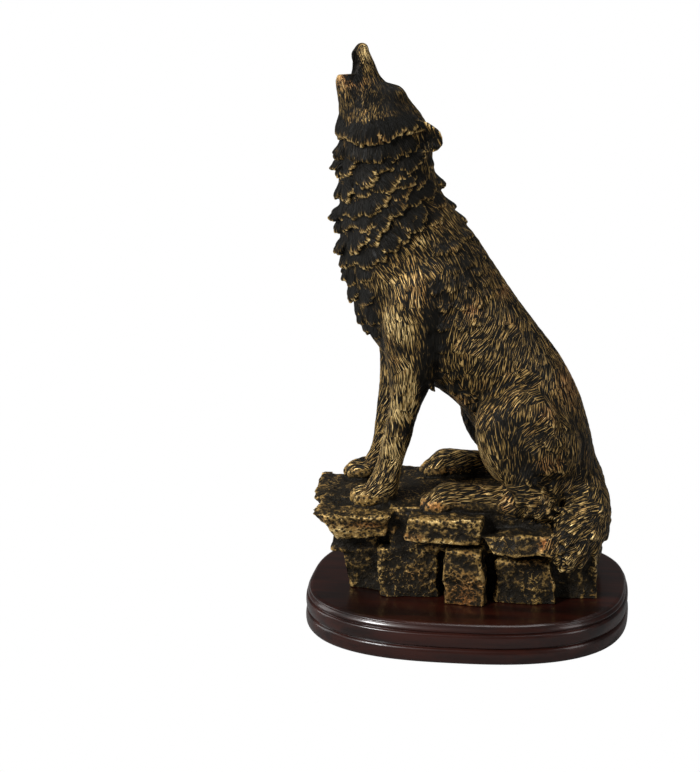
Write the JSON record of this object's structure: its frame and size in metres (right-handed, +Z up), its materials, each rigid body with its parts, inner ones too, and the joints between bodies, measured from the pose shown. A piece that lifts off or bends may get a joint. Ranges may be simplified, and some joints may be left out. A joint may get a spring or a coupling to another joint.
{
  "type": "wolf figurine",
  "caption": "Howling wolf seated on a stacked-stone ledge, a bronze-look resin casting glued on a moulded oval wooden plinth.",
  "frame": {"origin": "centre of the plinth's flat underside, on the surface it stands on", "axes": "+Z up; -X the way the wolf faces, along the plinth's long side; +Y across the plinth, away from the viewer of the picture"},
  "size_m": [0.1492, 0.114, 0.2634],
  "materials": {
    "bronze_resin": "cast resin painted near-black and dry-brushed with old gold on every raised edge",
    "lacquered_wood": "dark mahogany stain under gloss lacquer"
  },
  "bodies": {
    "root": {"wolf_on_rock": "bronze_resin", "plinth": "lacquered_wood"}
  },
  "joints": []
}
